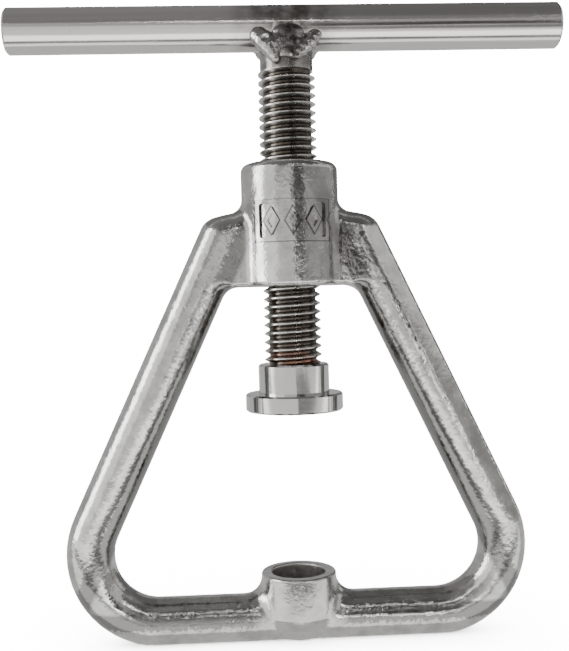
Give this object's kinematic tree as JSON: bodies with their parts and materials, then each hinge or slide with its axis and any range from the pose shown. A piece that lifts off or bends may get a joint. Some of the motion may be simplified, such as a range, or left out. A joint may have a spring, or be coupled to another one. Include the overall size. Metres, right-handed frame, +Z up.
{
  "type": "screw nutcracker press",
  "caption": "Cast A-frame nutcracker with a screw press: a tee handle turns the screw and drives a swivel foot down onto a nut cup.",
  "frame": {"origin": "on the ground underside of the bottom bar, on the screw's axis and in the frame's middle plane", "axes": "+Z up along the screw, +X along the bottom bar and the handle, -Y towards the plaque side"},
  "size_m": [0.096, 0.0175, 0.1107],
  "materials": {
    "cast_steel": "bright, tumbled casting",
    "screw_steel": "rolled thread, bright crests",
    "bar_steel": "drawn, brushed",
    "weld_steel": "bright weld metal",
    "turned_steel": "fine turned"
  },
  "bodies": {
    "frame": {"frame_casting": "cast_steel"},
    "foot": {"press_foot": "turned_steel"},
    "screw": {"feed_screw": "screw_steel", "tee_handle": "bar_steel", "handle_weld": "weld_steel", "foot_washer": "turned_steel", "washer_weld": "weld_steel"}
  },
  "joints": [
    {"name": "press_travel", "type": "slide", "parent": "frame", "child": "foot", "axis": [0, 0, 1], "range_m": [-0.0155, 0.013]},
    {"name": "screw_turn", "type": "hinge", "parent": "foot", "child": "screw", "pos_m": [0, 0, 0.0625], "axis": [0, 0, 1], "range_deg": [-3718, 3118]}
  ],
  "couplings": [
    {"joint": "press_travel", "follows": "screw_turn", "m_per_rad": 0.00023873}
  ]
}
